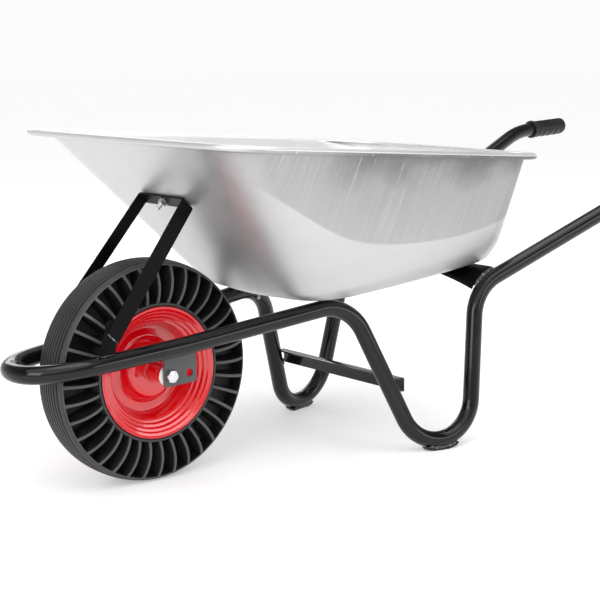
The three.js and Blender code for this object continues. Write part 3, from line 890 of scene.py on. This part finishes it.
def washer(inner, outer, start, stop):
    edge = 0.25
    return lathe([(inner, start), (outer - edge, start), (outer, start + edge), (outer, stop - edge),
                  (outer - edge, stop), (inner, stop)], 48, closed=True)


def fastener(cad_node, geometry, matrix, side=""):
    instead(cad_node, "_skin", moved(geometry, matrix), "zinc", side, sharp=30)


AXLE_SEAT, AXLE_HEXAGON, AXLE_HEAD_TURN = 75.3, 19, 0.35


def axle_fasteners():
    """The bolt through the brackets and the hub: head on the left, washer and nut on the right."""
    seat = AXLE_SEAT
    bolt = gathered([
        hexagon_solid(AXLE_HEXAGON, -seat - 7.5, -seat - 0.6, turn=AXLE_HEAD_TURN),
        lathe([(0.01, -seat - 0.6), (9.0, -seat - 0.6), (9.0, -seat), (0.01, -seat)], 48),
        lathe([(0.01, -seat - 8.0), (6.2, -seat - 7.9), (7.4, -seat - 7.4), (0.01, -seat - 7.3)], 40),
        threaded(6, -seat, seat + 16, 1.75)])
    nut = hexagon_solid(AXLE_HEXAGON, seat + 2.3, seat + 12.3, bore=6.1, turn=AXLE_HEAD_TURN)
    ring_shape = washer(6.4, 12, seat, seat + 2)
    for name, shape in (("axle_bolt", bolt), ("axle_nut", nut), ("axle_washer", ring_shape)):
        fastener(name, shape, ON_AXLE)


# ---- axle brackets
BRACKET_INNER, BRACKET_THICKNESS = 71, 4
BRACKET_OUTLINE = [(-12, 171.5), (52.5, 174.5), (52.5, 240), (-13, 235)]
BRACKET_HOLES = [(0, AXLE_HEIGHT, 6.6), (38.5, 190.5, 6.5)]


def axle_brackets():
    outline = rounded(BRACKET_OUTLINE, [5, 4, 0.5, 0.5])
    for sign, side in SIDES:
        # local X and Y lie in the middle plane and local Z is -Y
        start = -BRACKET_INNER if sign < 0 else BRACKET_INNER + BRACKET_THICKNESS
        stands = basis(at(0, start, 0), (1, 0, 0), (0, 0, 1))
        shape = plate(outline, BRACKET_THICKNESS, stands, edge=0.6, holes=BRACKET_HOLES)
        instead("axle_bracket", "_plate", shape, "bracket_black_painted_sheen", side)
        face = sign * (BRACKET_INNER + BRACKET_THICKNESS + 0.6)
        line = on_tube((-11, face, 221.01), (51, face, 226.59), 14, 0.4)
        piece("axle_bracket_weld" + side, weld(line, 3.1, seed=21 + sign), "weld_black")


# ---- strut
STRUT_HALF, STRUT_FLARE, STRUT_WIDTH, STRUT_THICKNESS = 64, 6, 24, 3.5
STRUT_TOP_HEIGHT = 480
STRUT_FOOT = Vector((-122, -81, 279))
STRUT_EDGE = 0.6
FOLD_REACH = 6.0
LUG_OUTLINE = [(-140, 243), (-113, 245), (-104, 272), (-110, 298), (-119, 297)]


def wall_line():
    """The outside of the front wall in the middle plane: (a point at the strut's top, down, outwards)."""
    ends = []
    for outline in (WALL_TOP, WALL_FOOT):
        x = outline["front"] - outline["bow"]
        ends.append(Vector((x, 0, level_at(outline, x))))
    down = (ends[1] - ends[0]).normalized()
    out = Vector((down.z, 0, -down.x))
    return ends[0] + down * ((STRUT_TOP_HEIGHT - ends[0].z) / down.z) + out * 0.3, down, out


STRUT_TOP, WALL_DOWN, WALL_OUT = wall_line()
STRUT_LOW = STRUT_TOP + WALL_DOWN * STRUT_WIDTH
LEG_TOP = Vector((STRUT_TOP.x, -STRUT_HALF, STRUT_TOP.z))
LEG_REAR = Vector((STRUT_LOW.x, -STRUT_HALF - STRUT_FLARE, STRUT_LOW.z))
LEG_IN = (LEG_TOP - STRUT_FOOT).cross(LEG_REAR - LEG_TOP).normalized()
STRUT_HEEL = STRUT_FOOT + LEG_REAR - LEG_TOP


def across(point):
    return Vector((point.x, -point.y, point.z))


def folded(foot, corner):
    """One edge of the strut from foot to foot, with its two folds rounded: (point, inwards)."""
    points = [(foot, LEG_IN)]
    for before, fold, after, first, second in (
            (foot, corner, across(corner), LEG_IN, WALL_OUT),
            (corner, across(corner), across(foot), WALL_OUT, across(LEG_IN))):
        start = fold + (before - fold).normalized() * FOLD_REACH
        stop = fold + (after - fold).normalized() * FOLD_REACH
        points += [(curve_point(start, fold, stop, t), (first * (1 - t) + second * t).normalized())
                   for t in shares(7)]
    return [*points, (across(foot), across(LEG_IN))]


def front_strut():
    """A flat bar folded into a U, as a strip between its front and rear edges."""
    edge, deep = STRUT_EDGE, STRUT_THICKNESS
    rows = []
    for (front, inward), (rear, _) in zip(folded(STRUT_FOOT, LEG_TOP), folded(STRUT_HEEL, LEG_REAR)):
        back = (rear - front).normalized()
        section = [(front, edge, 0), (rear, -edge, 0), (rear, 0, edge), (rear, 0, deep - edge),
                   (rear, -edge, deep), (front, edge, deep), (front, 0, deep - edge), (front, 0, edge)]
        rows.append([at(*(point + back * shift + inward * depth)) for point, shift, depth in section])
    instead("front_strut", "_bar", skin(rows, ends=True), "satin_black", sharp=30)
    inwards = aimed(-WALL_OUT, at(*((STRUT_TOP + STRUT_LOW) / 2)))
    bolt = gathered([dome_head(9, 1.4), threaded(4, 1.6, -22, 1.25)])
    nut = gathered([hexagon_solid(13, -5.2, -11.2, bore=4.1), washer(4.2, 8, -5.2, -3.7)])
    fastener("strut_bolt", bolt, inwards)
    fastener("strut_nut", nut, inwards)


def strut_lugs():
    """Plates flat against the inside of the legs, welded to them and to the rails."""
    behind = STRUT_THICKNESS + 0.3

    def on_leg(x, z, depth):
        spot = Vector((x, 0, z))
        spot.y = -(spot - STRUT_FOOT).dot(LEG_IN) / LEG_IN.y
        return spot + LEG_IN * depth

    x_axis = (on_leg(0, 200, 0) - on_leg(-100, 200, 0)).normalized()
    y_axis = LEG_IN.cross(x_axis).normalized()
    origin = on_leg(-110, 260, behind)
    flat = [(spot.dot(x_axis), spot.dot(y_axis))
            for spot in [on_leg(x, z, behind) - origin for x, z in LUG_OUTLINE]]
    shape = plate(rounded(flat, [1, 1, 4, 4, 3]), 4, basis(at(*origin), x_axis, y_axis), edge=0.6)
    foot_line = on_tube((-139, -84, 262), (-112, -84, 262), 12, 0.2)
    down = (STRUT_FOOT - LEG_TOP).normalized()
    end_line = [at(*(STRUT_FOOT.lerp(STRUT_HEEL, 0.1 + 0.85 * t) + down * 0.8 + LEG_IN * 3.2))
                for t in shares(8)]
    mirrored([
        ("strut_lug_plate", shape, "satin_black", "strut_lug"),
        ("strut_lug_weld", weld(foot_line, 3.4, seed=31), "weld_black", None),
        ("strut_end_weld", weld(end_line, 1.9, seed=32), "weld_black", None)])


# ---- cross brace, rear plate, tabs
BRACE_HALF, BRACE_WEB, BRACE_TOP, BRACE_DROP, BRACE_REACH, BRACE_THICKNESS = 168, 441, 139, 27, 22, 3
# from the end: how far the web's lower edge rises and the angle draws forwards
BRACE_ENDS = [(0, 1.6, 0.16), (3, 0.4, 0.0), (10, 0.0, 0.0)]


def cross_brace():
    """An angle across the front legs: top flange forwards, web down its rear edge."""
    front, inner = BRACE_WEB - BRACE_REACH, BRACE_WEB - BRACE_THICKNESS
    under, foot = BRACE_TOP - BRACE_THICKNESS, BRACE_TOP - BRACE_DROP
    section = rounded([(front, under), (inner, under), (inner, foot), (BRACE_WEB, foot),
                       (BRACE_WEB, BRACE_TOP), (front, BRACE_TOP)], [0.8, 2, 0.8, 0.8, 4.5, 0.8])
    stops = [(-BRACE_HALF + inset, rise, pull) for inset, rise, pull in BRACE_ENDS]
    stops += [(0, 0.0, 0.0)] + [(-y, rise, pull) for y, rise, pull in stops[::-1]]
    rows = [[at(x - pull, y, max(z, foot + rise)) for x, z in section] for y, rise, pull in stops]
    instead("cross_brace", "_angle", skin(rows, ends=True), "black_paint", sharp=30)
    for sign, side in SIDES:
        line = on_tube((421, sign * 147, 142), (438, sign * 147, 142), 8, 0.6)
        below = on_tube((436, sign * 146, 112), (436, sign * 153, 126), 7, 0.4)
        bead = gathered([weld(line, 3.0, seed=41 + sign), weld(below, 2.5, seed=44 + sign)])
        piece("cross_brace_weld" + side, bead, "weld_black")


PLATE_FRONT, PLATE_DEPTH, PLATE_HALF, PLATE_RISE, PLATE_TWIST = 600, 54, 178, 27, 0.5
PLATE_THICKNESS, PLATE_LIP, PLATE_EDGE = 4, 7, 0.8


def plate_top(along, y):
    """Height of the rear plate's top face, in mm."""
    share = (y / PLATE_HALF) ** 2
    base = level_at(FLOOR, PLATE_FRONT) - 0.3
    return base - PLATE_RISE * share + along * (FLOOR["slope"] + PLATE_TWIST * share)


def rear_plate():
    deep, lip = PLATE_DEPTH, PLATE_LIP
    section = ((PLATE_EDGE, 0), (deep - PLATE_EDGE - 2, 0), (deep - 0.6, 0.8), (deep, 2.4),
               (deep, lip), (deep - 3, lip), (deep - 3.4, PLATE_THICKNESS),
               (3.4, PLATE_THICKNESS), (3, lip), (0, lip), (0, 2.4), (0.3, 0.8))
    rows = [[at(PLATE_FRONT + along, y, plate_top(along, y) - depth) for along, depth in section]
            for y in [-PLATE_HALF + 2 * PLATE_HALF * t for t in shares(60)]]
    instead("rear_plate", "_saddle", skin(rows, ends=True), "satin_black", sharp=40)
    for sign, side in SIDES:
        start, stop = [(PLATE_FRONT + along, sign * PLATE_HALF, plate_top(along, PLATE_HALF) + 1.5)
                       for along in (1, deep - 1)]
        line = on_tube(start, stop, 13, 0.3)
        piece("rear_plate_weld" + side, weld(line, 3.8, seed=51 + sign), "weld_black")


TAB_X, TAB_Y, TAB_THICKNESS = 314, 95, 3


def tray_tabs():
    along = Vector((1, 0, FLOOR["slope"])).normalized()
    corner = at(TAB_X, -TAB_Y, level_at(FLOOR, TAB_X) - TAB_THICKNESS - 0.3)
    shape = plate(rounded([(-15, -17), (15, -17), (15, 17), (-15, 17)], [4] * 4), TAB_THICKNESS,
                  basis(corner, along, (0, 1, 0)), edge=0.5)
    line = on_tube((300, -112, 286), (328, -112, 286), 8, 0.3)
    mirrored([("tray_tab_plate", shape, "satin_black", "tray_tab"),
              ("tray_tab_weld", weld(line, 2.4, seed=61), "weld_black", None)])


# name, (x, y), thickness clamped, length
TRAY_BOLTS = (("front", (314, 93), 3.6, 33), ("rear", (628, 45), 7, 19))


def tray_bolts():
    normal = Vector((-FLOOR["slope"], 0, 1)).normalized()
    for name, (x, y), clamped, length in TRAY_BOLTS:
        bolt = gathered([dome_head(8.5, 1.3), threaded(3, 1.5, -length, 1.0)])
        nut = gathered([hexagon_solid(10, -clamped - 1, -clamped - 6, bore=3.1),
                        washer(3.2, 6.2, -clamped - 1, -clamped - 0.1)])
        for sign, side in SIDES:
            through = aimed(normal, at(x, sign * y, level_at(FLOOR, x)))
            fastener(name + "_tray_bolt", bolt, through, side)
            fastener(name + "_tray_nut", nut, through, side)


# ---- shoes
SHOE_FROM, SHOE_TO, SHOE_HALF = -1.84, -1.09, 10
SHOE_THICKNESS, SHOE_END = 5.0, 1.6
# across the strap, and how much of its thickness
SHOE_SECTION = ((-SHOE_HALF, 0.2), (-SHOE_HALF, 0.75), (-SHOE_HALF + 1.5, 1), (0, 1.0),
                (SHOE_HALF - 1.5, 1), (SHOE_HALF, 0.75), (SHOE_HALF, 0.2), (0, 0))


def foot_shoes():
    """A worn strap welded under each foot bend, ground flat where it stands."""
    front, foot, rear = tube_corners(-1)[3:6]
    centre, back, on, _ = bend_centre(front, foot, rear, FOOT_RADIUS)
    up = (back + on).normalized()
    side = back.cross(on).normalized()
    along = up.cross(side).normalized()

    def under(t, past_tube, sideways, lowest):
        """A point under the bend at a share of the shoe's length, kept above the ground."""
        angle = SHOE_FROM + (SHOE_TO - SHOE_FROM) * t
        outwards = along * math.cos(angle) + up * math.sin(angle)
        reach = FOOT_RADIUS + TUBE_RADIUS + past_tube
        spot = centre + outwards * reach * MM + side * sideways * MM
        spot.z = max(spot.z, GROUND + lowest * MM)
        return spot

    rows = []
    steps = 40
    for k in range(steps + 1):
        thick = SHOE_END + (SHOE_THICKNESS - SHOE_END) * min(1.0, min(k, steps - k) / 3)
        rows.append([under(k / steps, 0.2 + thick * depth, sideways, 0)
                     for sideways, depth in SHOE_SECTION])
    beads = [weld([under(0.08 + 0.84 * t, -1.6, sign * 9.4, 2.6) for t in shares(12)], 2.2, seed)
             for sign, seed in ((-1, 71), (1, 72))]
    mirrored([("foot_shoe_strap", skin(rows, ends=True), "worn_steel", "foot_shoe"),
              ("foot_shoe_weld", gathered(beads), "weld_black", None)])


# ---- grips
GRIP_LENGTH, GRIP_RADIUS, GRIP_COLLAR, GRIP_BORE = 112, 18, 20, 15.2
GRIP_SIDES = 132
COLLAR_LENGTH, COLLAR_FADE, END_ROUNDING = 7, 3, 9
FLUTE_DEPTH, FLUTES, WAVE_HEIGHT, WAVE_LENGTH, RIB_DEPTH, RIB_PITCH = 0.95, 22, 1.5, 21, 0.35, 3.2
# mm from the collar end: close together where the section changes
GRIP_STOPS = [0, 0.4, 1, 1.6, 3, 5, 6.4, 7, 8, 9, 10, 11, *[12 + 0.8 * k for k in range(112)],
              *[102 + 0.8 * k for k in range(11)], 110.8, 111.3, 111.7, 111.9, 112]


def grip_section(t, angle):
    """The grip's radius t mm from its collar end; angle 0 is the top."""
    if t < COLLAR_LENGTH:
        radius = GRIP_COLLAR - (0.8 if t < 1 else 0)
    elif t < COLLAR_LENGTH + COLLAR_FADE:
        radius = GRIP_COLLAR + (GRIP_RADIUS - GRIP_COLLAR) * (t - COLLAR_LENGTH) / COLLAR_FADE
    else:
        radius = GRIP_RADIUS
    left = GRIP_LENGTH - t
    if left < END_ROUNDING:
        radius -= END_ROUNDING - math.sqrt(max(END_ROUNDING ** 2 - (END_ROUNDING - left) ** 2, 0))
    fading = max(0.0, min(1.0, (t - 14) / 4, (left - 12) / 4))
    top = math.cos(angle)
    if top > 0.35:  # flutes along the top
        radius -= FLUTE_DEPTH * fading * (0.5 - 0.5 * math.cos(angle * FLUTES)) ** 2
    if top < -0.1:  # finger waves below
        wave = 0.5 + 0.5 * math.cos(TURN * (t - 16) / WAVE_LENGTH)
        radius += WAVE_HEIGHT * fading * min(1.0, (-0.1 - top) * 2.5) * wave
    elif abs(top) <= 0.35:  # fine ribs on the sides
        radius -= RIB_DEPTH * fading * (0.5 - 0.5 * math.cos(TURN * t / RIB_PITCH))
    return max(radius, 2.0)


def grips():
    for sign, name in SIDES:
        handle, end = tube_corners(sign)[-2:]
        along = (end - handle).normalized()
        up = (Vector((0, 0, 1)) - along * along.z).normalized()
        side = along.cross(up)
        start = end - along * GRIP_LENGTH * MM

        def row(t, radius_at):
            points = []
            for angle in round_angles(GRIP_SIDES):
                angle = angle if angle < math.pi else angle - TURN
                outwards = up * math.cos(angle) + side * math.sin(angle)
                points.append(start + along * t * MM + outwards * (radius_at(t, angle) * MM))
            return points

        rows = [row(0, lambda t, angle: GRIP_BORE), *[row(t, grip_section) for t in GRIP_STOPS]]
        instead("grip", "_sleeve", skin(rows, ends=True), "grip_rubber", name, sharp=60)


def weld_spatter():
    """Small bright beads of spatter round the lug welds."""
    chance = random.Random(7)
    parts = []
    for sign, _ in SIDES:
        for _ in range(16):
            x, y = chance.gauss(-128, 9), chance.gauss(80, 6)
            spot = onto_tube(at(x, sign * y, 262), sign)
            size = chance.uniform(0.5, 1.1)
            ball = lathe([(0.01, -size), (size * 0.7, -size * 0.7), (size, 0),
                          (size * 0.7, size * 0.7), (0.01, size)], 8)
            parts.append(moved(ball, Matrix.Translation(spot)))
    piece("weld_spatter", gathered(parts), "zinc")


# ---- stage
CAMERA_AT = (-1324.6, -1988.0, 719.9)
CAMERA_YAW, CAMERA_PITCH, CAMERA_ROLL = 0.6967, -0.1725, -0.0019
CAMERA_LENS, CAMERA_SENSOR = 87.06, 36


def camera():
    made = stand("camera", bpy.data.cameras.new("camera"))
    made.matrix_world = (Matrix.Translation(at(*CAMERA_AT)) @ Matrix.Rotation(-CAMERA_YAW, 4, "Z")
                         @ Matrix.Rotation(math.pi / 2 + CAMERA_PITCH, 4, "X")
                         @ Matrix.Rotation(CAMERA_ROLL, 4, "Z"))
    made.data.sensor_width = CAMERA_SENSOR
    made.data.lens = CAMERA_LENS
    bpy.context.scene.camera = made


# name, place, what it faces, size, watts
SOFT_BOXES = (
    ("top_light", (0.3, -0.4, 3.4), (0, 0, 0.3), (3.4, 2.4), 45),
    ("front_light", (-3.4, -1.2, 1.5), (-0.3, 0, 0.35), (1.8, 1.4), 33),
    ("side_light", (1.6, -3.6, 1.2), (0, 0, 0.35), (2.6, 1.0), 22),
    ("back_light", (1.2, 3.4, 2.0), (0, 0, 0.3), (2.8, 1.4), 30))
SUN_STRENGTH, SUN_SPREAD, SUN_DIRECTION = 1.75, 80, (0.35, 0.45, -1)


def lamp(name, kind, energy, direction):
    made = stand(name, bpy.data.lights.new(name, kind))
    made.data.energy = energy
    made.rotation_euler = direction.to_track_quat("-Z", "Y").to_euler()
    return made


def studio():
    for name, location, target, size, energy in SOFT_BOXES:
        box = lamp(name, "AREA", energy, Vector(target) - Vector(location))
        box.location = location
        box.data.shape = "RECTANGLE"
        box.data.size, box.data.size_y = size
    sun = lamp("overall_light", "SUN", SUN_STRENGTH, Vector(SUN_DIRECTION))
    sun.data.angle = math.radians(SUN_SPREAD)
    world = bpy.data.worlds.new("studio")
    bpy.context.scene.world = world
    start_tree(world)
    # the object is lit by a ramp from light ground to grey sky; the camera sees a plain backdrop
    ramp = node("ValToRGB", {0: split(node("TexCoord").outputs["Generated"])["Z"]})
    low, high = ramp.color_ramp.elements
    low.color = (0.85, 0.85, 0.86, 1)
    high.position = 0.5
    high.color = (0.22, 0.22, 0.23, 1)
    around = tree.nodes["Background"]
    around.inputs["Strength"].default_value = 1.0
    fill(around.inputs["Color"], ramp.outputs[0])
    backdrop = node("Background", {"Color": (0.97, 0.97, 0.972, 1)})
    seen = node("LightPath").outputs["Is Camera Ray"]
    both = node("MixShader", {0: seen, 1: around.outputs[0], 2: backdrop.outputs[0]})
    fill(tree.nodes["World Output"].inputs["Surface"], both.outputs[0])
    bpy.context.scene.view_settings.view_transform = "Standard"


FLOOR_SIZE = 30  # metres from the middle to each edge


def floor():
    size = FLOOR_SIZE
    mesh = bpy.data.meshes.new("floor")
    corners = [(-size, -size, 0), (size, -size, 0), (size, size, 0), (-size, size, 0)]
    mesh.from_pydata(corners, [], [[0, 1, 2, 3]])
    shader("floor", Base_Color=(0.80, 0.80, 0.80, 1), Roughness=0.9, Specular_IOR_Level=0.1,
           Emission_Color=(1, 1, 1, 1), Emission_Strength=0.36)
    mesh.materials.append(MATERIALS["floor"])
    made = stand("floor", mesh)
    made.location.z = GROUND


# ---- everything
black_paint()
satin_paint("satin_black", 0.08, 0.003, 0.006)
# painted sheen: the brackets' black paint gets a grey base, much lighter than the other black pieces,
# standing in for reflected light on their faces
satin_paint("bracket_black_painted_sheen", 0.6, 0.055, 0.072)
weld_paint()
galvanised(draw_line())
red_paint()
tyre_rubber()
grip_rubber()
zinc()
nylon()
worn_steel()

frame_tube()
tray()
tyre()
rim_discs()
hub()
axle_fasteners()
axle_brackets()
front_strut()
strut_lugs()
cross_brace()
rear_plate()
tray_tabs()
tray_bolts()
foot_shoes()
grips()
weld_spatter()
camera()
studio()
floor()
